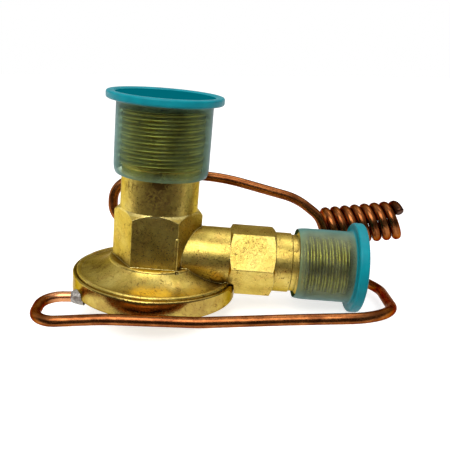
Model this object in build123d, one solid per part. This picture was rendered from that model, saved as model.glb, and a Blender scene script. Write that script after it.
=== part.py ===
from build123d import *
import math
import os

# Frame: +Z runs up the valve axis from the power head to the outlet, +X runs out
# along the inlet arm, and Z = 0 is the lowest point of the power head.

# ---- driving sizes, millimetres ----
runningFit = 0.05       # radial clearance of a piece that slides or turns
pressGap = 0.03         # radial clearance of a piece that is pressed or crimped home
seatGap = 0.3           # clearance of curved faces that close on each other

headRadius = 20.85      # power head, outside of the crimped skirt
skirtWall = 0.9
cupWall = 1.9           # cup wall below the diaphragm ledge
skirtTopZ = 10.0
cupCornerZ = 5.7        # the straight skirt ends here and the corner begins
cupFloorZ = 3.5         # floor ring round the central dome
domeRadius = 9.3
baseRadius = 6.4        # flat pad under the dome
ledgeZ = 7.4            # ledge that the diaphragm lies on

diaphragmThickness = 0.25
waveHeight = 0.5        # two pressed waves round the diaphragm
clampWidth = 2.95       # band at the skirt where the flange grips the diaphragm

ridgeInset = 1.4        # raised bead of the forging, in from the head's rim
ridgeTopZ = 10.65
shoulderRadius = 11.9   # round shoulder that the hexagon stands on
shoulderZ = 13.9
armAxisZ = 15.0

hexFlats = 19.4         # main hexagon, across flats
hexTopZ = 27.2
neckRadius = 9.73
outletThreadRadius = 11.11   # 7/8 in
outletThreadPerInch = 14
outletThreadStartZ = 38.3
outletThreadLength = 14.0
outletNoseLength = 1.7
outletBoreRadius = 6.8

armRadius = 7.83        # round part of the inlet arm
armHexFlats = 15.9
armHexStartX = 18.6
armHexLength = 11.5
inletNeckRadius = 7.64
inletThreadRadius = 8.73     # 11/16 in
inletThreadPerInch = 16
inletThreadStartX = 36.4
inletThreadLength = 12.3
inletNoseLength = 1.9
inletBoreRadius = 3.2
screenBoreRadius = 4.9
screenBoreLength = 28.1
hexCornerRound = 0.35   # worn corners of both hexagons
flashRadius = 0.5       # bead left by the die's parting line on one hexagon corner

webZ = 21.6             # floor of the spring chamber
seatInsertRadius = 3.1
seatInsertHeight = 2.6
orificeRadius = 1.5
ballRadius = 2.0
liftTravel = 0.8

pinRadius = 0.8
pinCircle = 5.6
plateThickness = 1.3
carrierFlange = 1.5
carrierHubRadius = 3.5

springWire = 1.1
springMeanRadius = 4.9
springTurns = 5.5
springLength = 13.4
springSeatThickness = 1.8
nutHeight = 5.0
nutSocketFlats = 6.0    # hexagon key size

capFit = 0.07           # radial clearance of a cap over the thread crests
capFloor = 0.8          # thickness of the recessed end face
outletCapWall = 0.62
outletCapSkirt = 2.5    # how far the sleeve reaches past the thread
outletBrim = 2.5        # how far the flange stands out from the sleeve
outletBrimThickness = 1.9
outletBrimProud = 1.5   # end of the flange past the nose
inletCapWall = 0.4
inletCapSkirt = 1.7
inletBrim = 2.35
inletBrimThickness = 2.6
inletBrimProud = 2.2

tubeRadius = 1.3        # capillary, outside
tubeBore = 0.6
coilMeanRadius = 4.25
coilGap = 0.18          # pitch of the sensing coil over the tube diameter
coilTurns = 7.85
coilLean = 10.4         # rise of the coil's axis, degrees
coilSkew = 0.17         # sideways lean of the turns, per unit of height
coilX = 45.2            # start of the coil's axis
coilY = 18.2
coilZ = 20.1
entryY = -10.5          # the capillary enters the head on this line
entryReach = 5.25       # tube inside and outside the skirt on that line
frontGap = 2.75         # front run of the tube, out from the head's rim
rightX = 58.4
backY = 18.0
solderReach = 2.3
solderFoot = 1.3        # spread of the solder on the skirt, past the tube


def ringXZ(points):
    """Turn a closed (radius, z) outline about the valve axis."""
    outline = Polyline([(r, 0, z) for r, z in points], close=True)
    return revolve(make_face(outline), Axis.Z, 360)


def onArm(shape):
    """Move a shape made about Z with its foot at z = 0 onto the arm axis, with z along +X."""
    return Pos(0, 0, armAxisZ) * Rot(0, 90, 0) * shape


def armBar(radius, startX, endX):
    return onArm(Pos(0, 0, startX) * Cylinder(radius, endX - startX, align=foot))


def bar(radius, startZ, endZ, x=0.0, y=0.0):
    return Pos(x, y, startZ) * Cylinder(radius, endZ - startZ, align=foot)


def hexBar(flats, startZ, endZ, turn=0.0, soften=0.0):
    section = RegularPolygon(flats / 2, 6, major_radius=False, rotation=turn)
    if soften:
        section = fillet(section.vertices(), soften)
    return extrude(Plane.XY.offset(startZ) * section, endZ - startZ)


def threadCut(crestRadius, pitch, start, length):
    """Helical groove of a 60 degree thread about Z, running out past both ends."""
    depth = pitch * 0.5413
    halfRoot = pitch / 8
    proud = pitch * 0.1
    halfMouth = halfRoot + (depth + proud) * math.tan(math.radians(30))
    turns = math.ceil(length / pitch) + 0.5    # the half turn keeps both ends out of one plane
    path = Helix(pitch=pitch, height=turns * pitch, radius=crestRadius - depth)
    groove = Polyline([(0, -halfRoot), (depth + proud, -halfMouth), (depth + proud, halfMouth),
                       (0, halfRoot)], close=True)
    section = Plane(path @ 0, x_dir=(1, 0, 0), z_dir=(0, -1, 0)) * make_face(groove)
    startTurn = 40                             # degrees, clear of the blank's seam
    return Pos(0, 0, start - pitch * 0.6) * Rot(0, 0, startTurn) * sweep(section, path, is_frenet=True)


def noseCone(rootRadius, tipRadius, start, end):
    """A 45 degree flare nose with a short plain collar below it."""
    slope = rootRadius - tipRadius
    collar = end - slope
    return ringXZ([(0, start), (rootRadius, start), (rootRadius, collar), (tipRadius, end), (0, end)])


foot = (Align.CENTER, Align.CENTER, Align.MIN)
parts = {}

# ---- places that follow from the driving sizes ----
outletThreadEndZ = outletThreadStartZ + outletThreadLength
outletNoseZ = outletThreadEndZ + outletNoseLength
armHexEndX = armHexStartX + armHexLength
inletThreadEndX = inletThreadStartX + inletThreadLength
inletNoseX = inletThreadEndX + inletNoseLength
screenBoreX = inletNoseX - screenBoreLength
outletPitch = 25.4 / outletThreadPerInch
inletPitch = 25.4 / inletThreadPerInch
outletRoot = outletThreadRadius - outletPitch * 0.5413
inletRoot = inletThreadRadius - inletPitch * 0.5413

# ---- power head ----
clampZ = ledgeZ + diaphragmThickness          # underside of the forged flange
skirtInner = headRadius - skirtWall
clampRadius = skirtInner - clampWidth
ridgeRadius = headRadius - ridgeInset
cupInner = headRadius - cupWall
cornerWide = headRadius - domeRadius
cornerDrop = cupCornerZ - cupFloorZ
wallScale = cupWall * 0.75                    # floor wall, thinner than the side


def cupOutline():
    """Outer wall, quarter-ellipse corner, dome, then back along the inside."""
    lip = skirtWall * 0.45
    outer = Polyline([(skirtInner, ledgeZ), (skirtInner, skirtTopZ - lip)])
    roll = ThreePointArc((skirtInner, skirtTopZ - lip),
                         (skirtInner + skirtWall / 2, skirtTopZ), (headRadius, skirtTopZ - lip))
    side = Line((headRadius, skirtTopZ - lip), (headRadius, cupCornerZ))
    corner = EllipticalCenterArc((domeRadius, cupCornerZ), cornerWide, cornerDrop,
                                 start_angle=270, arc_size=90)
    middle = (domeRadius + baseRadius) / 2
    dome = Bezier((domeRadius, cupFloorZ), (middle, cupFloorZ), (middle, 0), (baseRadius, 0))
    pad = Line((baseRadius, 0), (0, 0))
    wide = cupInner - domeRadius + wallScale
    insideRadius = domeRadius - wallScale
    insidePad = Line((0, wallScale), (baseRadius - wallScale, wallScale))
    insideDome = Bezier((baseRadius - wallScale, wallScale), (middle - wallScale, wallScale),
                        (middle - wallScale, cupFloorZ + wallScale), (insideRadius, cupFloorZ + wallScale))
    insideCorner = EllipticalCenterArc((domeRadius - wallScale, cupCornerZ + wallScale * 0.4),
                                       wide, cornerDrop - wallScale * 0.6,
                                       start_angle=270, arc_size=90)
    insideWall = Line((cupInner, cupCornerZ + wallScale * 0.4), (cupInner, ledgeZ))
    ledge = Line((cupInner, ledgeZ), (skirtInner, ledgeZ))
    axis = Line((0, 0), (0, wallScale))
    return make_face(outer + roll + side + corner + dome + pad + axis
                     + insidePad + insideDome + insideCorner + insideWall + ledge)


headCup = revolve(Plane.XZ * cupOutline(), Axis.Z, 360)

waveStart = clampRadius - 0.5
waveSpan = 1.5                                # width of one pressed wave
top = [(0, clampZ), (waveStart - 2 * waveSpan, clampZ)]
for wave in range(2):
    left = waveStart - (2 - wave) * waveSpan
    top += [(left + waveSpan * 0.3, clampZ + waveHeight), (left + waveSpan * 0.7, clampZ + waveHeight),
            (left + waveSpan, clampZ)]
top += [(skirtInner - runningFit, clampZ)]
under = [(r, z - diaphragmThickness) for r, z in reversed(top)]
parts["diaphragm"] = ringXZ(top + under)

plateRadius = waveStart - 2 * waveSpan - 0.3
plateTop = clampZ + plateThickness
recessZ = plateTop + liftTravel + 0.2         # roof of the plate's recess
parts["thrust_plate"] = (bar(plateRadius, clampZ, plateTop)
                         - Pos(0, 0, plateTop) * Torus(plateRadius * 0.62, 0.35))

# ---- forged body ----
flangeRadius = skirtInner - pressGap
hexCorner = hexFlats / math.sqrt(3)
flangeEdge = Polyline([(0, clampZ), (flangeRadius, clampZ), (flangeRadius, ridgeTopZ - 0.75)])
bead = ThreePointArc((flangeRadius, ridgeTopZ - 0.75), (ridgeRadius, ridgeTopZ),
                     (ridgeRadius - 0.75, ridgeTopZ - 0.45))
bell = ThreePointArc((ridgeRadius - 0.75, ridgeTopZ - 0.45),
                     (shoulderRadius + 2.4, shoulderZ - 2.45), (shoulderRadius, shoulderZ - 0.55))
shoulder = ThreePointArc((shoulderRadius, shoulderZ - 0.55), (shoulderRadius - 0.16, shoulderZ - 0.16),
                         (shoulderRadius - 0.55, shoulderZ))
closing = Polyline([(shoulderRadius - 0.55, shoulderZ), (0, shoulderZ), (0, clampZ)])
flare = revolve(Plane.XZ * make_face(flangeEdge + bead + bell + shoulder + closing), Axis.Z, 360)

chamferDrop = hexCorner - neckRadius
hexCone = ringXZ([(0, shoulderZ - 1), (hexCorner + 0.01, shoulderZ - 1),
                  (hexCorner + 0.01, hexTopZ - chamferDrop), (neckRadius, hexTopZ), (0, hexTopZ)])
mainHex = hexBar(hexFlats, shoulderZ - 1, hexTopZ, turn=0, soften=hexCornerRound) & hexCone
flashX = (hexCorner - flashRadius * 0.7) * math.cos(math.radians(300))
flashY = (hexCorner - flashRadius * 0.7) * math.sin(math.radians(300))
flashBead = bar(flashRadius, shoulderZ - 1, hexTopZ - 5.2, flashX, flashY)
flashBead = fillet(flashBead.edges().filter_by(GeomType.CIRCLE).sort_by(Axis.Z)[-1], flashRadius * 0.6)
flashNotch = bar(flashRadius, shoulderZ - 0.8, shoulderZ + 0.9,
                 flashX * (1 + 2.2 * flashRadius / hexCorner), flashY * (1 + 2.2 * flashRadius / hexCorner))

threadRelief = 0.35
outletCollar = outletRoot - 0.1
outletNeck = ringXZ([(0, hexTopZ - 1), (neckRadius, hexTopZ - 1),
                     (neckRadius, outletThreadStartZ - 0.6),
                     (outletCollar, outletThreadStartZ - 0.3),
                     (outletThreadRadius, outletThreadStartZ + 0.6),
                     (outletThreadRadius, outletThreadEndZ - 0.6),
                     (outletCollar, outletThreadEndZ + 0.3), (0, outletThreadEndZ + 0.3)])
outletNeck -= threadCut(outletThreadRadius, outletPitch, outletThreadStartZ, outletThreadLength)
print("outlet stem volume", round(outletNeck.volume, 1))
outletNose = noseCone(outletCollar, outletCollar - 1.4, outletThreadEndZ - 1, outletNoseZ)

armRound = armBar(armRadius, 0, armHexStartX + 1)
armCorner = armHexFlats / math.sqrt(3)
cut = armCorner - armHexFlats / 2
hexEnds = ringXZ([(0, armHexStartX), (armHexFlats / 2, armHexStartX),
                  (armCorner, armHexStartX + cut * 0.5), (armCorner, armHexEndX - cut * 0.5),
                  (armHexFlats / 2, armHexEndX), (0, armHexEndX)])
armHex = onArm(hexBar(armHexFlats, armHexStartX, armHexEndX, turn=90, soften=hexCornerRound) & hexEnds)
inletCollar = inletRoot - 0.1
inletStem = ringXZ([(0, armHexEndX - 1), (inletNeckRadius, armHexEndX - 1),
                    (inletNeckRadius, inletThreadStartX - 2.2),
                    (inletNeckRadius - threadRelief, inletThreadStartX - 2.0),
                    (inletNeckRadius - threadRelief, inletThreadStartX - 0.5),
                    (inletThreadRadius, inletThreadStartX + 0.5),
                    (inletThreadRadius, inletThreadEndX - 0.5),
                    (inletCollar, inletThreadEndX + 0.3), (0, inletThreadEndX + 0.3)])
inletStem -= threadCut(inletThreadRadius, inletPitch, inletThreadStartX, inletThreadLength)
inletNeck = onArm(inletStem)
inletNose = onArm(noseCone(inletCollar, inletCollar - 1.6, inletThreadEndX - 1, inletNoseX))

pinSpots = [(pinCircle * math.cos(math.radians(a)), pinCircle * math.sin(math.radians(a)))
            for a in (60, 180, 300)]
skirtClear = ringXZ([(flangeRadius, clampZ - 9), (headRadius + seatGap, clampZ - 9),
                     (headRadius + seatGap, skirtTopZ + seatGap),
                     (flangeRadius, skirtTopZ + seatGap)])
underHead = bar(headRadius + seatGap, clampZ - 9, clampZ)

body = flare + mainHex + flashBead + outletNeck + outletNose + armRound + armHex + inletNeck + inletNose
body -= flashNotch
body -= underHead
body -= skirtClear
body -= bar(plateRadius + seatGap, clampZ, recessZ)
body -= bar(clampRadius, clampZ, clampZ + waveHeight + 0.35)
body -= armBar(inletBoreRadius, -inletBoreRadius, inletNoseX)
body -= armBar(screenBoreRadius, screenBoreX, inletNoseX)
body -= bar(seatInsertRadius - 0.6, armAxisZ, webZ)
body -= bar(seatInsertRadius + pressGap, webZ - seatInsertHeight, webZ)
body -= bar(outletBoreRadius, webZ, outletNoseZ)
for x, y in pinSpots:
    body -= bar(pinRadius + runningFit, clampZ, webZ, x, y)
parts["valve_body"] = body

# ---- valve train ----
ballZ = webZ + math.sqrt(ballRadius ** 2 - orificeRadius ** 2) + seatGap
seatBevel = 0.35
seat = ringXZ([(orificeRadius, webZ - seatInsertHeight), (seatInsertRadius, webZ - seatInsertHeight),
               (seatInsertRadius, webZ), (orificeRadius + seatBevel, webZ),
               (orificeRadius, webZ - seatBevel)])
parts["seat_insert"] = seat
parts["valve_ball"] = Pos(0, 0, ballZ) * Sphere(ballRadius)

carrierZ = webZ + 0.45
carrierTop = carrierZ + carrierFlange
hubTop = ballZ + ballRadius + 1.0
carrier = bar(outletBoreRadius - runningFit, carrierZ, carrierTop) + bar(carrierHubRadius, carrierTop, hubTop)
carrier = chamfer(carrier.edges().filter_by(GeomType.CIRCLE).sort_by(Axis.Z)[-1], 0.5)
carrier -= bar(ballRadius + pressGap, carrierZ, ballZ)
carrier -= Pos(0, 0, ballZ) * Sphere(ballRadius + pressGap)
flowNotch = 1.5
for angle in (0, 120, 240):
    notchX = outletBoreRadius * math.cos(math.radians(angle))
    notchY = outletBoreRadius * math.sin(math.radians(angle))
    carrier -= bar(flowNotch, carrierZ, carrierTop, notchX, notchY)
parts["ball_carrier"] = carrier

pinNames = ("push_pin_back", "push_pin_left", "push_pin_front")
for name, (x, y) in zip(pinNames, pinSpots):
    pin = bar(pinRadius, plateTop, carrierZ, x, y)
    parts[name] = chamfer(pin.edges().filter_by(GeomType.CIRCLE), 0.15)

springPath = Helix(pitch=(springLength - springWire) / springTurns, height=springLength - springWire,
                   radius=springMeanRadius)
springPath = Pos(0, 0, carrierTop + springWire / 2) * springPath
springFace = Plane(springPath @ 0, z_dir=springPath % 0) * Circle(springWire / 2)
parts["superheat_spring"] = sweep(springFace, springPath, is_frenet=True)

seatZ = carrierTop + springLength
springSeat = bar(outletBoreRadius - runningFit, seatZ, seatZ + springSeatThickness)
springSeat -= bar(springMeanRadius - springWire, seatZ, seatZ + springSeatThickness)
parts["spring_seat"] = springSeat

nutZ = seatZ + springSeatThickness
nut = bar(outletBoreRadius - runningFit, nutZ, nutZ + nutHeight)
nut = chamfer(nut.edges().filter_by(GeomType.CIRCLE), 0.4)
nut -= hexBar(nutSocketFlats, nutZ, nutZ + nutHeight)
parts["adjusting_nut"] = nut

# ---- inlet screen ----
ringLength = 2.2
ringX = inletNoseX - 6.8
meshRadius = 3.7
meshWall = 0.35
ring = onArm(ringXZ([(meshRadius - 0.6, ringX), (screenBoreRadius - pressGap, ringX),
                     (screenBoreRadius - pressGap, ringX + ringLength),
                     (meshRadius - 0.2, ringX + ringLength)]))
parts["screen_ring"] = ring
thimbleX = screenBoreX + 1.2
tipRadius = meshRadius - 1.3
thimble = onArm(ringXZ([(0, thimbleX), (tipRadius, thimbleX), (meshRadius, ringX),
                        (meshRadius - meshWall, ringX), (tipRadius - meshWall, thimbleX + meshWall),
                        (0, thimbleX + meshWall)]))
parts["inlet_screen"] = thimble


# ---- port caps ----
def portCap(fittingRadius, wall, mouth, brim, brimThickness, noseEnd, proud):
    """Push-on cap: sleeve with a rounded mouth, wide flange, recessed end face."""
    inner = fittingRadius + capFit
    radius = inner + wall
    flangeRadius = radius + brim
    flangeEnd = noseEnd + proud
    flangeStart = flangeEnd - brimThickness
    face = noseEnd + 0.1
    recess = radius + 0.3
    lip = (flangeEnd - flangeStart) * 0.3
    outline = Polyline([(inner, mouth), (inner, face), (0, face), (0, face + capFloor),
                        (recess - 0.5, face + capFloor), (recess, flangeEnd - lip * 0.4),
                        (recess + lip * 0.5, flangeEnd), (flangeRadius - lip, flangeEnd)])
    edgeTop = ThreePointArc((flangeRadius - lip, flangeEnd),
                            (flangeRadius - lip * 0.293, flangeEnd - lip * 0.293),
                            (flangeRadius, flangeEnd - lip))
    edge = Line((flangeRadius, flangeEnd - lip), (flangeRadius, flangeStart + lip))
    edgeUnder = ThreePointArc((flangeRadius, flangeStart + lip),
                              (flangeRadius - lip * 0.293, flangeStart + lip * 0.293),
                              (flangeRadius - lip, flangeStart))
    back = Polyline([(flangeRadius - lip, flangeStart), (radius + 0.4, flangeStart),
                     (radius, flangeStart - 0.4), (radius, mouth + wall * 2.2)])
    curl = ThreePointArc((radius, mouth + wall * 2.2), (radius - wall * 0.28, mouth + wall * 0.75),
                         (radius - wall * 0.8, mouth))
    end = Line((radius - wall * 0.8, mouth), (inner, mouth))
    outlineFace = make_face(outline + edgeTop + edge + edgeUnder + back + curl + end)
    return revolve(Plane.XZ * outlineFace, Axis.Z, 360)


parts["outlet_cap"] = portCap(outletThreadRadius, outletCapWall, outletThreadStartZ - outletCapSkirt,
                              outletBrim, outletBrimThickness, outletNoseZ, outletBrimProud)
parts["inlet_cap"] = onArm(portCap(inletThreadRadius, inletCapWall, inletThreadStartX - inletCapSkirt,
                                   inletBrim, inletBrimThickness, inletNoseX, inletBrimProud))

# ---- sensing coil: a helix about a leaning axis, its turns pushed over a little ----
coilPitch = 2 * tubeRadius + coilGap
coilStart = Vector(coilX, coilY, coilZ)
lean = math.radians(coilLean)
coilPlane = Plane(coilStart, x_dir=(0, -1, 0), z_dir=(math.cos(lean), 0, math.sin(lean)))
skew = Matrix([[1, 0, 0, 0], [0, 1, 0, 0], [0, coilSkew, 1, 0], [0, 0, 0, 1]])
helix = Helix(pitch=coilPitch, height=coilPitch * coilTurns, radius=coilMeanRadius)
coilPath = coilPlane.location * helix.transform_geometry(skew)


def tubeSection(path, at):
    return Plane(path @ at, z_dir=path % at) * (Circle(tubeRadius) - Circle(tubeBore))


parts["sensing_coil"] = sweep(tubeSection(coilPath, 0), coilPath, is_frenet=True)

# ---- capillary from the power head round to the coil ----
frontY = -headRadius - frontGap
leftX = -headRadius - entryReach
returnY = backY - 4.0                         # upper back run, nearer the valve
leadIn = 4.6                                  # straight run that enters the coil
coilTop = coilPath @ 0
corner = coilTop - (coilPath % 0) * leadIn
route = [
    (entryReach - headRadius, entryY, 5.75), (leftX, entryY, 5.0), (leftX, frontY, 4.1),
    (-9.5, frontY + 0.3, 6.0), (12.0, frontY - 0.2, 7.1), (33.0, frontY, 9.4),
    (rightX, frontY, 11.6), (rightX + 2.7, backY, 4.5),
    (24.2, backY - 1.6, 11.8), (-13.6, returnY + 0.6, 18.6),
    (-13.6, returnY + 2.0, 28.9), (10.5, returnY + 2.0, 33.6),
    (35.0, returnY + 0.6, 26.9), corner, coilTop,
]
route = [Vector(*point) for point in route]
bends = []
for before, here, after in zip(route, route[1:], route[2:]):
    half = math.radians((here - before).get_angle(after - here)) / 2
    shorter = min((here - before).length, (after - here).length)
    bends.append(min(0.45 * shorter / math.tan(half), 60.0))
print("tube bend radii", [round(bend, 1) for bend in bends])
tubePath = FilletPolyline(*route, radius=bends)
capillary = sweep(tubeSection(tubePath, 0), tubePath)
parts["capillary_tube"] = capillary
print("tube volume", round(capillary.volume, 1), "section times length",
      round(math.pi * (tubeRadius ** 2 - tubeBore ** 2) * tubePath.length, 1))

endPlane = Plane(coilPath @ 1, z_dir=coilPath % 1)
sealRound = tubeRadius * 0.45
seal = endPlane * Cylinder(tubeRadius, tubeRadius * 0.7, align=foot)
parts["coil_end_seal"] = fillet(seal.edges().filter_by(GeomType.CIRCLE).sort_by(
    lambda edge: (edge.center() - endPlane.origin).length)[-1], sealRound)

# ---- capillary joint in the side of the cup ----
tubeLine = (route[1] - route[0]).normalized()
wallX = -math.sqrt(headRadius ** 2 - entryY ** 2)
wallPoint = route[0] + tubeLine * ((wallX - route[0].X) / tubeLine.X)
entryPlane = Plane(wallPoint, z_dir=tubeLine)
boreReach = 4 * cupWall
entryBore = entryPlane * Pos(0, 0, -boreReach) * Cylinder(tubeRadius, 2 * boreReach, align=foot)
socket = cupWall * 1.3                        # the cone starts this far inside the wall
blob = entryPlane * Pos(0, 0, -socket) * Cone(tubeRadius + solderFoot, tubeRadius + 0.25,
                                              solderReach + socket, align=foot)
blob = fillet(blob.edges().filter_by(GeomType.CIRCLE).sort_by(
    lambda edge: (edge.center() - wallPoint).dot(tubeLine))[-1], 0.2)
blob = blob - headCup - entryBore
parts["solder_joint"] = blob.solids().sort_by(Axis.X)[0]      # the part outside the wall
parts["head_cup"] = headCup - entryBore

os.makedirs("parts", exist_ok=True)
for name, shape in parts.items():
    export_step(shape, f"parts/{name}.step")
print(len(parts), "nodes written")
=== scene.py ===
import math
import bmesh
import bpy
import numpy as np
from mathutils import Matrix, Vector


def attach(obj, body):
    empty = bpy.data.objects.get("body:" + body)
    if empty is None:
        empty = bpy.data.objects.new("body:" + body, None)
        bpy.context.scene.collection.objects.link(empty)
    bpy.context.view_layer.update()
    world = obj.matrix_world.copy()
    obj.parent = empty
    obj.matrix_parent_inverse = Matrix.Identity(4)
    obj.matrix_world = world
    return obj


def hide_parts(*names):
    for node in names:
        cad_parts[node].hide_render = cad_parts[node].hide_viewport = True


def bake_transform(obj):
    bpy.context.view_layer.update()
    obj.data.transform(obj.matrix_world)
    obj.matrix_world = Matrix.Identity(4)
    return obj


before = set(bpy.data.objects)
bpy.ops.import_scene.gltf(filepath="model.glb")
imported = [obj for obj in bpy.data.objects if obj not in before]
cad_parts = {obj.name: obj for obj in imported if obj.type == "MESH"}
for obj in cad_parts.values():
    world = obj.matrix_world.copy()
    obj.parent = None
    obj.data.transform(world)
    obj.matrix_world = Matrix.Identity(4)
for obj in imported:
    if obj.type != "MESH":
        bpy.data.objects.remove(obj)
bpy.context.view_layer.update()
mm = 0.001
detail = 1.0  # share of the full number of steps
armHeight = 15 * mm  # the arm's axis above the pad


def unit(vectors):
    # each vector over its own length
    return vectors / np.linalg.norm(vectors, axis=-1, keepdims=True)


def runAlong(line):
    # the sum of the steps up to each point of the line
    return np.concatenate([[0], np.cumsum(np.linalg.norm(np.diff(line, axis=0), axis=1))])


def pointsAt(line, run, wanted):
    # the line's points at the wanted distances along it, each coordinate read off between its neighbours
    return np.stack([np.interp(wanted, run, line[:, k]) for k in range(line.shape[1])], -1)


def gridPiece(name, points, wrap=False, layers=None):
    # point (i, j), the next one along, the one past both and the next one across make a face,
    # and with wrap the last column joins the first
    rows, columns = points.shape[:2]
    i, j = np.meshgrid(np.arange(rows - 1), np.arange(columns if wrap else columns - 1), indexing="ij")
    here, across = i * columns + j, i * columns + (j + 1) % columns
    faces = np.stack([here, here + columns, across + columns, across], -1)
    mesh = bpy.data.meshes.new(name)
    mesh.from_pydata(points.reshape(-1, 3).tolist(), [], faces.reshape(-1, 4).tolist())
    for key, values in (layers or {}).items():
        layer = mesh.attributes.new(key, "FLOAT", "POINT")
        layer.data.foreach_set("value", np.ascontiguousarray(values, np.float32).ravel())
    piece = bpy.data.objects.new(name, mesh)
    bpy.context.scene.collection.objects.link(piece)
    return piece


def closeMesh(piece, sharpAngle):
    # points that meet become one, slivers go, faces turn outward, and edges past the angle stay sharp
    work = bmesh.new()
    work.from_mesh(piece.data)
    bmesh.ops.remove_doubles(work, verts=work.verts, dist=1e-7)
    bmesh.ops.dissolve_degenerate(work, edges=work.edges, dist=1e-9)
    bmesh.ops.recalc_face_normals(work, faces=work.faces)
    work.to_mesh(piece.data)
    work.free()
    piece.data.shade_smooth()
    piece.data.set_sharp_from_angle(angle=math.radians(sharpAngle))
    return piece


def dress(piece, made, body, slotName, *nodes):
    # the piece gets its material, rides on its body and takes the place of the CAD nodes
    piece.data.materials.clear()
    piece.data.materials.append(made)
    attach(piece, body)
    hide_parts(*nodes)
    return piece


def upright(points):
    # the valve's own axis is z, so nothing turns
    return points


def ontoArm(points):
    # (x, y, z) about the valve's axis goes to (z, y, armHeight - x) about the arm's
    return np.stack([points[..., 2], points[..., 1], armHeight - points[..., 0]], -1)


def lathe(profile, segments):
    # radius r and height h of each profile point, turned by the angle a: (r cos a, r sin a, h)
    angles = np.linspace(0, 2 * math.pi, segments, endpoint=False)
    radius, height = profile[:, 0, None], profile[:, 1, None]
    return np.stack([radius * np.cos(angles), radius * np.sin(angles),
                     np.broadcast_to(height, (len(profile), segments))], -1)


def roundedLine(corners, rounds, steps):
    # each inner corner b becomes (1 - t)^2 a + 2 t (1 - t) b + t^2 c, where a and c lie on its two
    # sides, as far off as its round says and never past 0.49 of the side
    corners = np.array(corners, float)
    here = corners[1:-1, None]
    sides = np.stack([corners[:-2], corners[2:]], 1) - here
    lengths = np.linalg.norm(sides, axis=2, keepdims=True)
    reach = np.broadcast_to(rounds, len(corners))[1:-1, None, None]
    ends = here + sides / lengths * np.minimum(reach, 0.49 * lengths)
    t = np.linspace(0, 1, steps)[:, None]
    curves = (1 - t) ** 2 * ends[:, :1] + 2 * t * (1 - t) * here + t * t * ends[:, 1:]
    return np.concatenate([corners[:1], curves.reshape(-1, corners.shape[1]), corners[-1:]])


def tubeSurface(path, radius, around):
    # circles square to the path: radius times (side cos a + up sin a). Each circle's start angle is
    # the sum of the small turns between neighbouring side vectors, so that the tube has no twist
    tangent = unit(np.gradient(path, axis=0))
    side = unit(np.cross(tangent, [0.0, 0.3, 1.0]))
    up = np.cross(tangent, side)
    turns = np.arctan2((side[:-1] * up[1:]).sum(1), (side[:-1] * side[1:]).sum(1))
    start = np.concatenate([[0], np.cumsum(turns)])[:, None]
    angle = (start + np.linspace(0, 2 * math.pi, around, endpoint=False))[..., None]
    return path[:, None] + radius * (side[:, None] * np.cos(angle) + up[:, None] * np.sin(angle))


def bentPath(route, step):
    # straight runs joined by arcs of 0.45 of the shorter run over tan(half the turn), at most 60 mm;
    # an arc's points are centre + bend * (outward cos t + forward sin t)
    route = np.array(route)
    line = [route[:1]]
    for before, here, after in zip(route, route[1:], route[2:]):
        forward, onward = unit(here - before), unit(after - here)
        shorter = min(np.linalg.norm(here - before), np.linalg.norm(after - here))
        turn = math.acos(np.clip(forward @ onward, -1, 1))
        bend = min(0.45 * shorter / math.tan(turn / 2), 60 * mm)
        centre = here + unit(onward - forward) * bend / math.cos(turn / 2)
        outward = (here - forward * bend * math.tan(turn / 2) - centre) / bend
        t = np.linspace(0, turn, max(3, int(turn * bend / step) + 2))[:, None]
        line.append(centre + bend * (np.cos(t) * outward + np.sin(t) * forward))
    line = np.concatenate([*line, route[-1:]])
    # evenly spaced again, so that colour and bump don't stretch
    run = runAlong(line)
    even = np.linspace(0, run[-1], int(run[-1] / step))
    return pointsAt(line, run, even), even


def isSocket(value):
    # true for another node's output, which is linked and not copied
    return isinstance(value, bpy.types.NodeSocket)


def fill(tree, node, inputs):
    # an output is linked to the node's input, and anything else is the input's own value
    for key, value in inputs.items():
        if isSocket(value):
            tree.links.new(value, node.inputs[key])
        else:
            node.inputs[key].default_value = value


def material(name):
    # an empty material with its node tree and its main shader
    made = bpy.data.materials.new(name)
    made.use_nodes = True
    return made, made.node_tree, made.node_tree.nodes["Principled BSDF"]


def add(tree, kind, inputs=None, **settings):
    # a new shader node with its settings and inputs filled in
    node = tree.nodes.new("ShaderNode" + kind)
    for key, value in settings.items():
        setattr(node, key, value)
    fill(tree, node, inputs or {})
    return node


def millimetres(tree, scale=(1, 1, 1)):
    # object coordinates times 1000 and times the scale
    place = add(tree, "TexCoord").outputs["Object"]
    return add(tree, "VectorMath", {0: place, 1: tuple(1000 * s for s in scale)}, operation="MULTIPLY").outputs[0]


def noise(tree, vector, scale, depth=3.0, rough=0.5, distort=0.0):
    # cloudy values about 0.5, with the given number of patches per unit
    return add(tree, "TexNoise", {"Vector": vector, "Scale": scale, "Detail": depth,
                                  "Roughness": rough, "Distortion": distort}).outputs["Fac"]


def ramp(tree, value, stops):
    # the colours of the stops, blended evenly between their places
    node = add(tree, "ValToRGB", {"Fac": value})
    band = node.color_ramp
    while len(band.elements) < len(stops):
        band.elements.new(0.5)
    for element, (at, colour) in zip(band.elements, stops):
        element.position = at
        element.color = (*colour, 1) if np.ndim(colour) else (colour, colour, colour, 1)
    return node.outputs["Color"]


def mapRange(tree, value, low, high, toLow=0.0, toHigh=1.0):
    # toLow at low, toHigh at high, a straight line between and level outside
    return add(tree, "MapRange", {"Value": value, "From Min": low, "From Max": high,
                                  "To Min": toLow, "To Max": toHigh}).outputs["Result"]


def calc(tree, kind, a, b=0.0):
    # one sum, difference, maximum or power of two values
    return add(tree, "Math", {0: a, 1: b}, operation=kind).outputs[0]


def product(tree, *factors):
    # all the factors multiplied
    out = factors[0]
    for factor in factors[1:]:
        out = calc(tree, "MULTIPLY", out, factor)
    return out


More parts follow.
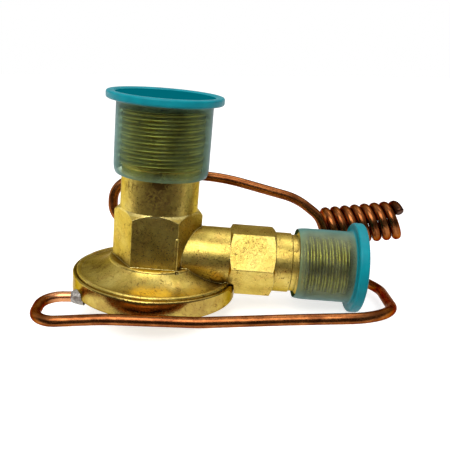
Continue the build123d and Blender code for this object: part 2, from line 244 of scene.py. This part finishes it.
def mixColour(tree, factor, a, b):
    # colour a where the factor is 0 and colour b where it is 1
    a, b = (value if isSocket(value) else (*value, 1) for value in (a, b))
    return add(tree, "Mix", {0: factor, 6: a, 7: b}, data_type="RGBA").outputs[2]


def bump(tree, height, strength, depth, normal=None):
    # a normal that leans with the slope of the height
    inputs = {"Height": height, "Strength": strength, "Distance": depth}
    if normal is not None:
        inputs["Normal"] = normal
    return add(tree, "Bump", inputs).outputs["Normal"]


def attribute(tree, name):
    # a value that the mesh carries at its points
    return add(tree, "Attribute", attribute_name=name).outputs["Fac"]


def softEdge(tree, radius):
    # the normal as if edges were rounded by the radius
    return add(tree, "Bevel", {"Radius": radius}, samples=6).outputs[0]


def spotMask(tree, place, centre, reach, edge):
    # 1 within reach of a point and 0 past reach + edge, in millimetres
    apart = add(tree, "VectorMath", {0: place, 1: centre}, operation="DISTANCE").outputs["Value"]
    return mapRange(tree, apart, reach + edge, reach)


# patches per millimetre, detail, roughness and distortion of each pattern in the brass
brassGrain = {"cloud": (0.14, 5, 0.6, 0.6), "drift": (0.33, 4, 0.6), "skin": (2.4, 7, 0.72),
              "speck": (0.95, 9, 0.75, 0.8), "fine": (2.1, 6, 0.8, 0.3), "blotch": (0.62, 6, 0.7, 0.5),
              "hair": (0.42, 2, 0.4, 1.5), "clump": (0.75, 5, 0.75, 1.2), "pits": (2.6, 6, 0.8),
              "dents": (0.28, 3, 0.5), "rings": (4.5, 3, 0.7)}
brassColours = {"cloud": [(0.30, (0.40, 0.285, 0.055)), (0.50, (0.57, 0.425, 0.095)), (0.72, (0.70, 0.56, 0.16))],
                "reddish": (0.60, 0.36, 0.09), "dull": (0.27, 0.17, 0.045), "blotch": (0.26, 0.135, 0.035),
                "tan": (0.30, 0.165, 0.04), "grime": (0.20, 0.13, 0.03), "dirtAndShade": (0.10, 0.06, 0.014),
                "stainAndShade": (0.10, 0.052, 0.014), "worn": (0.86, 0.74, 0.30), "glancing": (0.62, 0.52, 0.30)}
brassSurface = {"edgeRadius": 0.22 * mm, "cornerReach": 1.6 * mm, "bump": 0.22, "bumpDepth": 0.10 * mm}

# rough is the roughness at the low and the high places of the skin, dull the share of brown tone
forgedFinish = {"forged": True, "rough": (0.50, 0.17), "dull": 0.0}
turnedFinish = {"forged": False, "rough": (0.15, 0.26), "dull": 0.0}
drawnFinish = {"forged": False, "rough": (0.09, 0.18), "dull": 0.7}

# the forging's own marks: centre, reach and fading edge in millimetres; a tarnish cluster also has
# the level of the pattern where it begins; one cluster is tarnish and painted shadow together
forgedMarks = {
    "tarnishAndShade": [((-0.6, -9.8, 31.6), 0.8, 3.6, 0.46), ((4.6, -9.8, 24.8), 0.3, 3.0, 0.52),
                ((-6.5, -7.4, 33.6), 0.5, 3.2, 0.50), ((24.0, -6.5, 21.0), 1.0, 5.0, 0.57),
                # the cluster at (0.5, -10.0, 35.6), just under the outlet cap's mouth, is tarnish and painted shadow
                # of the cap together
                ((-12.5, -11.0, 11.8), 1.0, 5.0, 0.55), ((0.5, -10.0, 35.6), 0.8, 3.6, 0.38),
                ((14.0, -7.0, 12.0), 1.0, 4.0, 0.52), ((-5.0, -9.8, 20.0), 1.0, 4.0, 0.58),
                ((-4.5, -10.5, 22.6), 1.0, 3.0, 0.51), ((-15.0, -4.0, 11.0), 2.0, 5.0, 0.54),
                ((18.0, -8.0, 9.5), 1.0, 4.0, 0.50)],
    "tan": ((1.5, -10.0, 30.5), 1.5, 6.0), "grime": ((-14.5, -3.0, 10.0), 3.0, 6.0),
    "pits": ((24.0, -7.0, 20.0), 3.0, 5.5),
    "rim": (26.5, 26.75, 27.15, 27.25),  # height of the hexagon's bright chamfer
    "ringsAbove": 27.6, "ringsBeyond": 30.2}  # where the neck and the inlet end are turned


def brass(name, finish):
    # colour is the cloudy tone, then brown patches, then dirt and painted shade where the shape is hollow,
    # then the greatest of all stains, painted shadow under the outlet cap's mouth among them, then worn metal
    # on edges; height is the sum of skin, specks and rings
    made, tree, shader = material(name)
    place = millimetres(tree)
    up = add(tree, "SeparateXYZ", {0: place}).outputs
    cloud, drift, skin, speck, fine = (noise(tree, place, *brassGrain[key])
                                       for key in ("cloud", "drift", "skin", "speck", "fine"))

    base = ramp(tree, cloud, brassColours["cloud"])
    base = mixColour(tree, mapRange(tree, drift, 0.5, 0.75, 0.0, 0.55), base, brassColours["reddish"])
    dull = finish["dull"]
    if dull:
        base = mixColour(tree, mapRange(tree, drift, 0.35, 0.6, 0.5 * dull, dull), base, brassColours["dull"])
    blotch = product(tree, mapRange(tree, noise(tree, place, *brassGrain["blotch"]), 0.53, 0.66),
                     mapRange(tree, fine, 0.36, 0.58))
    base = mixColour(tree, product(tree, blotch, 0.5), base, brassColours["blotch"])

    # hair scratches run where a slow pattern crosses its middle value
    hair = calc(tree, "SUBTRACT", noise(tree, place, *brassGrain["hair"]), 0.5)
    hair = mapRange(tree, calc(tree, "ABSOLUTE", hair), 0.013, 0.003)
    hair = product(tree, hair, mapRange(tree, drift, 0.42, 0.55))
    stainAndShade = calc(tree, "MAXIMUM", mapRange(tree, speck, 0.64, 0.72, 0.0, 0.55), product(tree, hair, 0.95))
    if finish["forged"]:
        clump = noise(tree, place, *brassGrain["clump"])
        for centre, reach, edge, level in forgedMarks["tarnishAndShade"]:
            mark = calc(tree, "ADD", mapRange(tree, clump, level, level + 0.10),
                        product(tree, mapRange(tree, fine, level, level + 0.14), 0.7))
            stainAndShade = calc(tree, "MAXIMUM", stainAndShade,
                         product(tree, spotMask(tree, place, centre, reach, edge), mark, 0.85))
        tan = product(tree, spotMask(tree, place, *forgedMarks["tan"]), mapRange(tree, clump, 0.36, 0.62))
        base = mixColour(tree, product(tree, tan, 0.75), base, brassColours["tan"])
        grime = product(tree, spotMask(tree, place, *forgedMarks["grime"]), mapRange(tree, drift, 0.35, 0.6))
        base = mixColour(tree, product(tree, grime, 0.6), base, brassColours["grime"])
    stainAndShade = add(tree, "Clamp", {"Value": stainAndShade}).outputs[0]

    # painted shade, partly dirt: near-black is mixed in where the piece's own shape closes round a point, in thread
    # roots, creases and corners
    hollowShade = add(tree, "AmbientOcclusion", {"Distance": brassSurface["cornerReach"]}, samples=6,
                 only_local=True).outputs["AO"]
    colour = mixColour(tree, mapRange(tree, hollowShade, 0.82, 0.38, 0.0, 0.85), base, brassColours["dirtAndShade"])
    # stains darken the colour; just under the outlet cap's mouth they are painted shadow of the cap as well
    colour = mixColour(tree, stainAndShade, colour, brassColours["stainAndShade"])

    # an edge is where the rounded normal turns away from the true one
    rounded = softEdge(tree, brassSurface["edgeRadius"])
    same = add(tree, "VectorMath", {0: rounded, 1: add(tree, "NewGeometry").outputs["Normal"]},
               operation="DOT_PRODUCT").outputs["Value"]
    edge = mapRange(tree, same, 0.995, 0.90)
    if finish["forged"]:
        rimStart, rimFull, rimFade, rimEnd = forgedMarks["rim"]
        rim = product(tree, mapRange(tree, up["Z"], rimStart, rimFull), mapRange(tree, up["Z"], rimEnd, rimFade),
                      mapRange(tree, skin, 0.25, 0.5))
        edge = calc(tree, "MAXIMUM", edge, product(tree, rim, 0.8))
    colour = mixColour(tree, product(tree, edge, mapRange(tree, skin, 0.35, 0.6)), colour, brassColours["worn"])

    rough = mapRange(tree, skin, 0.3, 0.7, *finish["rough"])
    rough = calc(tree, "ADD", rough, product(tree, stainAndShade, 0.3))
    rough = calc(tree, "ADD", rough, mapRange(tree, cloud, 0.4, 0.7, 0.0, 0.05))

    height = calc(tree, "ADD", product(tree, skin, 0.55), product(tree, speck, 0.5))
    if finish["forged"]:
        # turned parts carry fine rings, the rest pits, scratches and shallow dents
        for axis, socket, turnedFrom in ((2, "Z", forgedMarks["ringsAbove"]), (0, "X", forgedMarks["ringsBeyond"])):
            onlyAlong = add(tree, "CombineXYZ", {axis: up[socket]}).outputs[0]
            rings = noise(tree, onlyAlong, *brassGrain["rings"])
            turned = mapRange(tree, up[socket], turnedFrom, turnedFrom + 0.3)
            height = calc(tree, "ADD", height, product(tree, turned, rings, 0.5))
        pits = mapRange(tree, noise(tree, place, *brassGrain["pits"]), 0.53, 0.62)
        pits = product(tree, spotMask(tree, place, *forgedMarks["pits"]), pits, 1.6)
        height = calc(tree, "SUBTRACT", height, pits)
        height = calc(tree, "SUBTRACT", height, product(tree, hair, 1.5))
        height = calc(tree, "ADD", height, product(tree, noise(tree, place, *brassGrain["dents"]), 2.2))
    fill(tree, shader, {
        "Base Color": colour, "Metallic": 1.0, "Specular Tint": (*brassColours["glancing"], 1), "Roughness": rough,
        "Normal": bump(tree, height, brassSurface["bump"], brassSurface["bumpDepth"], rounded)})
    return made


# heat and burnt give the run along the tube, in millimetres, where each mark starts and is full
copperLook = {"streaks": [(0.30, (0.095, 0.026, 0.008)), (0.50, (0.25, 0.082, 0.024)), (0.72, (0.43, 0.165, 0.052))],
              "dark": (0.12, 0.034, 0.012), "heat": (0.80, 0.36, 0.16), "heatOn": (1.0, 3.0),
              "heatOff": (11.0, 6.5), "burnt": (0.035, 0.014, 0.008), "burntOn": (603.0, 609.0),
              "glancing": (0.42, 0.26, 0.18), "rough": (0.20, 0.36)}


def copperMetal():
    # long streaks follow the tube's own run and turn; dark clouds, heat by the joint and a burnt end
    # are mixed over them
    made, tree, shader = material("copperTube")
    along, around = attribute(tree, "along"), attribute(tree, "around")
    onTube = add(tree, "CombineXYZ", {0: product(tree, along, 0.22), 1: product(tree, around, 3.0)}).outputs[0]
    streak = noise(tree, onTube, 1.0, 6, 0.65, 0.4)
    cloud = noise(tree, millimetres(tree), 0.30, 4, 0.6, 0.8)
    fine = noise(tree, onTube, 3.2, 5, 0.75)
    colour = mixColour(tree, mapRange(tree, cloud, 0.50, 0.72, 0.0, 0.65),
                       ramp(tree, streak, copperLook["streaks"]), copperLook["dark"])
    heat = product(tree, mapRange(tree, along, *copperLook["heatOn"]), mapRange(tree, along, *copperLook["heatOff"]))
    colour = mixColour(tree, product(tree, heat, 0.8), colour, copperLook["heat"])
    burnt = mapRange(tree, along, *copperLook["burntOn"], 0.0, 0.85)
    fill(tree, shader, {
        "Base Color": mixColour(tree, burnt, colour, copperLook["burnt"]), "Metallic": 1.0,
        "Specular Tint": (*copperLook["glancing"], 1),
        "Roughness": mapRange(tree, fine, 0.3, 0.7, *copperLook["rough"]),
        "Normal": bump(tree, fine, 0.35, 0.04 * mm)})
    return made


def grainyMetal(name, look):
    # two tones blended by one grain, which is also the height
    made, tree, shader = material(name)
    grain = noise(tree, millimetres(tree), *look["grain"])
    fill(tree, shader, {"Base Color": ramp(tree, grain, look["tones"]), "Metallic": look["metal"],
                        "Roughness": look["rough"], "Normal": bump(tree, grain, 0.5, look["depth"])})
    return made


burntLook = {"grain": (1.6, 5, 0.7), "tones": [(0.35, (0.03, 0.012, 0.007)), (0.65, (0.10, 0.038, 0.018))],
             "metal": 1.0, "rough": 0.4, "depth": 0.1 * mm}
solderLook = {"grain": (1.3, 5, 0.6), "tones": [(0.35, (0.22, 0.20, 0.18)), (0.65, (0.50, 0.47, 0.43))],
              "metal": 0.85, "rough": 0.45, "depth": 0.2 * mm}
steelLook = {"grain": (3.0, 4, 0.6), "tones": [(0.3, (0.42, 0.42, 0.43)), (0.7, (0.62, 0.62, 0.63))],
             "rough": (0.22, 0.36), "stretch": (1, 1, 0.2)}


def plainSteel():
    # two tones of one grain drawn out upward, rougher where it is lighter
    made, tree, shader = material("steel")
    grain = noise(tree, millimetres(tree, steelLook["stretch"]), *steelLook["grain"])
    fill(tree, shader, {"Base Color": ramp(tree, grain, steelLook["tones"]), "Metallic": 1.0,
                        "Roughness": mapRange(tree, grain, 0.3, 0.7, *steelLook["rough"])})
    return made


# the darker teal of the recess is painted shade, not a colour of the plastic
plasticLook = {"dense": [(0.3, (0.0, 0.205, 0.255)), (0.7, (0.0, 0.265, 0.315))], "recessShade": (0.0, 0.11, 0.14),
               "lip": (0.15, 0.225, 0.12), "side": (0.06, 0.19, 0.175), "clear": (0.80, 0.92, 0.66),
               "soak": (0.25, 0.62, 0.64), "soakDensity": 120.0, "rough": (0.32, 0.50), "gloss": 0.18,
               "edgeRadius": 0.25 * mm, "bump": 0.12, "bumpDepth": 0.25 * mm,
               "sideHaze": 1.2, "lipHaze": 0.5, "hazeInShadow": 0.35}


def capPlastic(name, haze, tone):
    # dense teal where the flange is thick, and in the sleeve a haze over clear plastic:
    # haze + sideHaze * facing ^ 1.2 + lipHaze at the ends, as more plastic is crossed there
    made, tree, shader = material(name)
    thick, recessShade, inside, lip = (attribute(tree, key) for key in ("thick", "recessShade", "inside", "lip"))
    place = millimetres(tree)
    cloud = noise(tree, place, 0.28, 3, 0.5)
    scuff = noise(tree, place, 1.6, 6, 0.7)
    facing = add(tree, "LayerWeight", {"Blend": 0.5}).outputs["Facing"]
    # painted shade: the recess in the cap's top gets a darker teal, and its gloss is taken away
    dense = mixColour(tree, recessShade, ramp(tree, cloud, plasticLook["dense"]), plasticLook["recessShade"])
    middle = ramp(tree, cloud, [(at, tuple(share * t for t in tone)) for at, share in ((0.3, 0.8), (0.7, 1.2))])
    thin = mixColour(tree, mapRange(tree, facing, 0.25, 0.8),
                     mixColour(tree, lip, middle, plasticLook["lip"]), plasticLook["side"])
    height = calc(tree, "ADD", noise(tree, place, 0.5, 3, 0.5), product(tree, scuff, 0.25))
    fill(tree, shader, {
        "Base Color": mixColour(tree, thick, thin, dense),
        "Roughness": mapRange(tree, scuff, 0.35, 0.65, *plasticLook["rough"]),
        "Specular IOR Level": mapRange(tree, recessShade, 0.0, 0.6, plasticLook["gloss"], 0.0),
        "Normal": bump(tree, height, plasticLook["bump"], plasticLook["bumpDepth"],
                       softEdge(tree, plasticLook["edgeRadius"]))})

    # light that falls through to the metal is held back less than the haze shows
    veil = calc(tree, "ADD", product(tree, calc(tree, "POWER", facing, 1.2), plasticLook["sideHaze"]),
                mapRange(tree, cloud, 0.4, 0.7, haze - 0.04, haze + 0.05))
    veil = calc(tree, "ADD", veil, product(tree, lip, plasticLook["lipHaze"]))
    shadow = add(tree, "LightPath").outputs["Is Shadow Ray"]
    veil = product(tree, veil, mapRange(tree, shadow, 0.0, 1.0, 1.0, plasticLook["hazeInShadow"]))
    clear = add(tree, "BsdfTransparent", {"Color": (*plasticLook["clear"], 1)}).outputs[0]
    bare = add(tree, "BsdfTransparent", {"Color": (1, 1, 1, 1)}).outputs[0]
    outer = add(tree, "MixShader", {0: calc(tree, "MAXIMUM", veil, thick), 1: clear, 2: shader.outputs[0]})
    wall = add(tree, "MixShader", {0: inside, 1: outer.outputs[0], 2: bare})
    # the plastic soaks up light along its wall, so it darkens where it is seen edge-on
    soak = add(tree, "VolumeAbsorption", {"Color": (*plasticLook["soak"], 1), "Density": plasticLook["soakDensity"]})
    fill(tree, tree.nodes["Material Output"], {"Surface": wall.outputs[0], "Volume": soak.outputs[0]})
    return made


forgedBrass = brass("forgedBrass", forgedFinish)
turnedBrass = brass("turnedBrass", turnedFinish)
drawnBrass = brass("drawnBrass", drawnFinish)
copperMade, steelMade = copperMetal(), plainSteel()
burntMade, solderMade = grainyMetal("burntCopper", burntLook), grainyMetal("solder", solderLook)
print("metals made")

for made, nodes in ((forgedBrass, ("valve_body",)), (drawnBrass, ("head_cup",)), (burntMade, ("coil_end_seal",)),
                    (turnedBrass, ("thrust_plate", "ball_carrier", "spring_seat", "adjusting_nut", "screen_ring")),
                    (steelMade, ("diaphragm", "push_pin_back", "push_pin_left", "push_pin_front", "seat_insert",
                                 "valve_ball", "inlet_screen"))):
    for node in nodes:
        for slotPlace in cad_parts[node].material_slots:
            slotPlace.material = made
print("CAD pieces have their metals")

# base is the coil's start on its axis, lean the axis's rise, skew the push of each turn along it
coil = {"radius": 4.25 * mm, "pitch": 2.78 * mm, "turns": 7.85, "skew": 0.17, "lean": 10.4,
        "base": (45.2, 18.2, 20.1), "stepsPerTurn": 56, "runFrom": 400}
lean = math.radians(coil["lean"])
coilAxis = np.array([math.cos(lean), 0, math.sin(lean)])
coilDown = np.array([math.sin(lean), 0, -math.cos(lean)])
coilFront = np.array([0, -1.0, 0])


def coilPoint(angle):
    # base + radius * (front cos a + down sin a), moved along the axis by pitch * a / 2 pi and by
    # skew * radius * sin a
    angle = np.asarray(angle, float)[..., None]
    ahead = coil["pitch"] * angle / (2 * math.pi) + coil["skew"] * coil["radius"] * np.sin(angle)
    return (np.array(coil["base"]) * mm + ahead * coilAxis
            + coil["radius"] * (np.cos(angle) * coilFront + np.sin(angle) * coilDown))


# the route's corners are in millimetres; the last straight run, of length lead, enters the coil
tube = {"radius": 1.3 * mm, "around": 28, "step": 0.5 * mm, "lead": 4.6 * mm,
        "route": [(-15.6, -10.5, 5.75), (-26.1, -10.5, 5.0), (-26.1, -23.6, 4.1), (-9.5, -23.3, 6.0),
                  (12.0, -23.8, 7.1), (33.0, -23.6, 9.4), (57.4, -23.6, 11.9), (62.0, 18.0, 5.6),
                  (24.2, 16.4, 11.8), (-13.6, 14.6, 18.6), (-13.6, 16.0, 28.9), (10.5, 16.0, 33.6),
                  (36.7, 14.6, 28.6)]}


def copperPiece(name, path, run, node):
    # a tube round the path that carries its run in millimetres, and 1 to 0 to 1 round each circle
    surface = tubeSurface(path, tube["radius"], int(tube["around"] * detail))
    aside = np.abs(np.linspace(-1, 1, surface.shape[1], endpoint=False))
    piece = gridPiece(name, surface, True, {"along": np.broadcast_to(run[:, None], surface.shape[:2]),
                                            "around": np.broadcast_to(aside, surface.shape[:2])})
    return dress(closeMesh(piece, 60), copperMade, "housing", "copper", node)


coilStart, coilHeading = coilPoint(0.0), unit(coilPoint(1e-4) - coilPoint(0.0))
tubeRoute = [*(np.array(tube["route"]) * mm), coilStart - coilHeading * tube["lead"], coilStart]
tubeLine, tubeRun = bentPath(tubeRoute, tube["step"] / detail)
copperPiece("capillaryTube", tubeLine, tubeRun / mm, "capillary_tube")
print("tube made")

# the spring is in two halves, each listed with the parts at its two ends
spring = {"radius": 4.9 * mm, "wire": 0.55 * mm, "around": 16, "turns": 5.5, "low": 24.1 * mm,
          "high": 36.4 * mm, "steps": 260,
          "halves": {"springLower": ((0.0, 0.5), ("valve_train", "housing")),
                     "springUpper": ((0.5, 1.0), ("housing", "spring_stop"))}}
for name, (part, bodies) in spring["halves"].items():
    # turn a about the axis: (r cos a, r sin a), rising evenly with a
    share = np.linspace(*part, int(spring["steps"] * detail))
    angle = 2 * math.pi * spring["turns"] * share
    rise = spring["low"] + (spring["high"] - spring["low"]) * share
    line = np.stack([spring["radius"] * np.cos(angle), spring["radius"] * np.sin(angle), rise], -1)
    half = closeMesh(gridPiece(name, tubeSurface(line, spring["wire"], spring["around"]), True), 60)
    half.data.materials.append(steelMade)
    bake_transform(half)
    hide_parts("superheat_spring")
print("spring made")

# at each step along the tube, in millimetres, the solder stands this far off it; a lump has its
# height, its count round the tube and its angle
solder = {"steps": [0.6, 1.4, 2.2, 2.8, 3.2, 3.5, 3.7, 3.8], "swellAt": [0.6, 2.4, 3.0, 3.5, 3.8],
          "swell": [0.85, 0.55, 0.34, 0.16, -0.05], "round": 0.3, "around": 40,
          "lumps": ((0.22, 2, 0.6), (0.12, 5, 2.0))}


def solderSurface(foot, heading):
    # a circle round the tube at each step, its radius the tube's plus swell * (1 + sum of lump sines)
    swell = np.interp(solder["steps"], solder["swellAt"], solder["swell"])
    line = roundedLine(np.stack([solder["steps"], swell], -1), solder["round"], 4) * mm
    angle = np.linspace(0, 2 * math.pi, solder["around"], endpoint=False)
    lumps = 1 + sum(height * np.sin(count * angle + at) for height, count, at in solder["lumps"])
    side = np.cross(heading, [0, 0, 1.0])
    up = np.cross(side, heading)
    circle = np.cos(angle)[:, None] * side + np.sin(angle)[:, None] * up
    radius = tube["radius"] + line[:, 1, None] * lumps
    return foot + line[:, 0, None, None] * heading + radius[..., None] * circle


collar = gridPiece("solderCollar", solderSurface(tubeRoute[0], unit(tubeRoute[1] - tubeRoute[0])), True)
dress(closeMesh(collar, 60), solderMade, "housing", "solder", "solder_joint")
print("solder made")

coilAngles = np.linspace(0, 2 * math.pi * coil["turns"], int(coil["turns"] * coil["stepsPerTurn"] * detail))
copperPiece("sensingCoil", coilPoint(coilAngles), coil["runFrom"] + coilAngles * coil["radius"] / mm, "sensing_coil")
print("coil made")

# radii and heights of the push-on caps; the flange lies between low and top, face is the end's inside
capShape = {"floor": 0.8 * mm, "recessGap": 0.3 * mm, "segments": 160, "cut": 0.35 * mm,
            "rounds": np.array([0, 0.1, 0.1, 0.1, 0.8, 1.2, 0.3, 0.3, 0.62, 0.62, 0.4, 0.3, 0.5, 0]) * mm}
outletCap = {"inner": 11.18 * mm, "wall": 0.62 * mm, "brim": 2.5 * mm, "mouth": 35.8 * mm, "low": 53.6 * mm,
             "top": 55.5 * mm, "face": 54.1 * mm, "haze": 0.08, "tone": (0.14, 0.20, 0.08)}
inletCap = {"inner": 8.8 * mm, "wall": 0.4 * mm, "brim": 2.35 * mm, "mouth": 35.9 * mm, "low": 50.2 * mm,
            "top": 52.8 * mm, "face": 50.7 * mm, "haze": 0.16, "tone": (0.25, 0.28, 0.165)}


def capProfile(cap):
    # the closed outline as (radius, height) from the inside of the end face round the mouth and the
    # flange to its outside, and values from 0 to 1 that say where each point lies
    inner, mouth, low, top, face = (cap[key] for key in ("inner", "mouth", "low", "top", "face"))
    outer = inner + cap["wall"]
    flange, recess, floor = outer + cap["brim"], outer + capShape["recessGap"], face + capShape["floor"]
    corners = [(0, face), (inner, face), (inner, mouth), (inner + 0.12 * mm, mouth),  # the end's inside and the bore
               (outer - 0.10 * mm, mouth + 0.9 * mm), (outer, mouth + 2.2 * mm),  # the mouth thins over 2.2 mm
               (outer, low - 0.4 * mm), (outer + 0.4 * mm, low), (flange, low),  # the sleeve and under the flange
               (flange, top), (recess + 0.5 * mm, top),  # the flange's edge and top
               (recess, top - 0.4 * mm), (recess - 0.3 * mm, floor), (0, floor)]  # down into the recess
    line = roundedLine(corners, capShape["rounds"], 6)
    # long straight runs are cut up so that the values can change along them
    run = runAlong(line)
    line = pointsAt(line, run, np.unique(np.concatenate([run, np.arange(0, run[-1], capShape["cut"])])))
    radius, height = line[:, 0], line[:, 1]
    inFlange = np.clip((height - (low - 0.25 * mm)) / (0.4 * mm), 0, 1)  # grows over 0.4 mm below the flange
    inBrim = np.clip((radius - outer) / (0.25 * mm), 0, 1)  # grows over 0.25 mm outside the sleeve
    inRecess = (radius < recess) & (height > face + 0.5 * mm) & (height < top - 0.25 * mm)
    atMouth = np.clip(1 - (height - mouth) / (2.4 * mm), 0, 1)  # fades 2.4 mm up from the mouth
    atFlange = np.clip(1 - (low - height) / (1.8 * mm), 0, 1)  # fades 1.8 mm down from the flange
    return line, {"thick": np.maximum(inFlange, inBrim), "recessShade": inRecess.astype(float),
                  "inside": ((radius < inner + 1e-6) & (height < face + 0.3 * mm)).astype(float),
                  "lip": np.clip(atMouth + atFlange, 0, 1)}


def capPiece(name, cap, place, plasticName, body, node):
    # the outline turned about its axis, each point's values the same all the way round
    line, layers = capProfile(cap)
    points = lathe(line, int(capShape["segments"] * detail))
    layers = {key: np.broadcast_to(values[:, None], points.shape[:2]) for key, values in layers.items()}
    piece = closeMesh(gridPiece(name, place(points), True, layers), 50)
    return dress(piece, capPlastic(plasticName, cap["haze"], cap["tone"]), body, "cap_plastic", node)


capPiece("outletCap", outletCap, upright, "outletPlastic", "outlet_cover", "outlet_cap")
capPiece("inletCap", inletCap, ontoArm, "inletPlastic", "inlet_cover", "inlet_cap")
print("caps made")

# the floor passes under the head's pad and touches the inlet cap's lowest point
ground = {"slope": 3.45 / 44.6, "levelAt": 6.4 * mm}
floorPlate = {"x": (-0.9, 0.9), "y": (-0.9, 0.9), "lift": -0.02 * mm, "colour": (0.66, 0.66, 0.66),
              "rough": 0.9, "gloss": 0.0, "glow": 0.70}
# a dark flag lies in front, seen only in reflections, and gives the brass its dark bands
flagPlate = {"x": (-0.26, 0.26), "y": (-0.42, -0.032), "lift": 0.3 * mm, "colour": (0.04, 0.036, 0.03), "rough": 1.0}


def plate(name, look):
    # four corners on the sloping plane: height is (x - levelAt) * slope + lift
    x, y = np.meshgrid(look["x"], look["y"], indexing="ij")
    piece = gridPiece(name, np.stack([x, y, (x - ground["levelAt"]) * ground["slope"] + look["lift"]], -1))
    made, tree, shader = material(name)
    fill(tree, shader, {"Base Color": (*look["colour"], 1), "Roughness": look["rough"]})
    piece.data.materials.append(made)
    return piece, tree, shader


def makeFloor():
    # matt grey that takes the shadow, and a white glow added for camera, mirror and see-through rays
    piece, tree, shader = plate("floor", floorPlate)
    shader.inputs["Specular IOR Level"].default_value = floorPlate["gloss"]
    path = add(tree, "LightPath").outputs
    looking = calc(tree, "MAXIMUM", path["Is Camera Ray"], path["Is Glossy Ray"])
    looking = calc(tree, "MAXIMUM", looking, path["Is Transmission Ray"])
    glow = add(tree, "Emission", {"Color": (1, 1, 1, 1), "Strength": product(tree, looking, floorPlate["glow"])})
    both = add(tree, "AddShader", {0: shader.outputs[0], 1: glow.outputs[0]})
    fill(tree, tree.nodes["Material Output"], {"Surface": both.outputs[0]})


def makeFlag():
    # hidden from the camera, from shadows and from soft light, and left in reflections
    piece = plate("flag", flagPlate)[0]
    piece.visible_camera = piece.visible_diffuse = piece.visible_shadow = piece.visible_transmission = False


# dome gives the grey at each height from the horizon up, front the dark low part before the object
sky = {"dome": [(0.0, 0.22), (0.25, 0.10), (0.50, 0.45), (0.8, 0.82), (1.0, 0.7)], "front": (0.04, 0.037, 0.034),
       "frontAcross": (0.15, -0.55), "frontUnder": (0.75, 0.35), "backAcross": (0.1, 0.5), "backUnder": (0.24, 0.08)}


def makeSky():
    # the dome's grey, darkened low in front, and white for camera and see-through rays and for the
    # mirror rays that leave low at the back
    world = bpy.data.worlds.new("studio")
    world.use_nodes = True
    bpy.context.scene.world = world
    tree = world.node_tree
    toward = add(tree, "SeparateXYZ", {0: add(tree, "TexCoord").outputs["Generated"]}).outputs
    dark = product(tree, mapRange(tree, toward["Y"], *sky["frontAcross"]),
                   mapRange(tree, toward["Z"], *sky["frontUnder"]))
    colour = mixColour(tree, dark, ramp(tree, toward["Z"], sky["dome"]), sky["front"])
    path = add(tree, "LightPath").outputs
    behind = product(tree, path["Is Glossy Ray"], mapRange(tree, toward["Y"], *sky["backAcross"]),
                     mapRange(tree, toward["Z"], *sky["backUnder"]))
    white = calc(tree, "MAXIMUM", behind, path["Is Transmission Ray"])
    white = calc(tree, "MAXIMUM", path["Is Camera Ray"], white)
    fill(tree, tree.nodes["Background"], {"Color": mixColour(tree, white, colour, (1.0, 1.0, 1.0)), "Strength": 1.0})


# place and target in metres, width and height in metres, power in watts
lights = {"key": {"place": (-0.10, -0.31, 0.385), "target": (0.01, 0, 0.02), "size": (0.42, 0.34), "power": 2.0},
          "top": {"place": (0.10, 0.08, 0.48), "target": (0.01, 0, 0.02), "size": (0.26, 0.18), "power": 0.38},
          "side": {"place": (-0.42, 0.06, 0.10), "target": (0.0, 0, 0.02), "size": (0.16, 0.22), "power": 0.11},
          "card": {"place": (-0.085, 0.055, 0.026), "target": (0.0, 0, 0.02), "size": (0.05, 0.07),
                   "power": 0.0035, "seen": False}}


def makeLight(name, light):
    # a soft rectangle whose -z side looks from its place to its target
    data = bpy.data.lights.new(name, "AREA")
    data.shape = "RECTANGLE"
    data.size, data.size_y = light["size"]
    data.energy = light["power"]
    lamp = bpy.data.objects.new(name, data)
    bpy.context.scene.collection.objects.link(lamp)
    lamp.visible_camera = light.get("seen", True)
    lamp.location = light["place"]
    lamp.rotation_euler = (Vector(light["target"]) - Vector(light["place"])).to_track_quat("-Z", "Y").to_euler()


# angles in radians; the focal length is in pixels of a picture 450 wide
cameraView = {"yaw": -0.04063, "pitch": 0.28289, "roll": 0.09030, "place": (10.362, -162.902, 71.095),
              "focal": 666.913, "picture": 450, "sensor": 36, "near": 0.005, "far": 20}


def makeCamera():
    # ahead leans down by pitch and across by yaw, and the frame is turned about it by roll
    yaw, pitch, roll = (cameraView[key] for key in ("yaw", "pitch", "roll"))
    ahead = np.array([-math.sin(yaw) * math.cos(pitch), math.cos(yaw) * math.cos(pitch), -math.sin(pitch)])
    right = unit(np.cross(ahead, [0, 0, 1]))
    up = np.cross(right, ahead)
    right, up = math.cos(roll) * right + math.sin(roll) * up, -math.sin(roll) * right + math.cos(roll) * up
    turn = np.eye(4)
    turn[:3] = np.stack([right, up, -ahead, np.array(cameraView["place"]) * mm], -1)
    data = bpy.data.cameras.new("camera")
    data.sensor_width = cameraView["sensor"]
    data.lens = cameraView["sensor"] * cameraView["focal"] / cameraView["picture"]
    data.clip_start, data.clip_end = cameraView["near"], cameraView["far"]
    camera = bpy.data.objects.new("camera", data)
    camera.matrix_world = Matrix(turn.tolist())
    bpy.context.scene.collection.objects.link(camera)
    bpy.context.scene.camera = camera


makeFloor()
makeFlag()
makeSky()
for name, light in lights.items():
    makeLight(name, light)
makeCamera()
bpy.context.scene.view_settings.view_transform = "Standard"
print("floor, light and camera made")
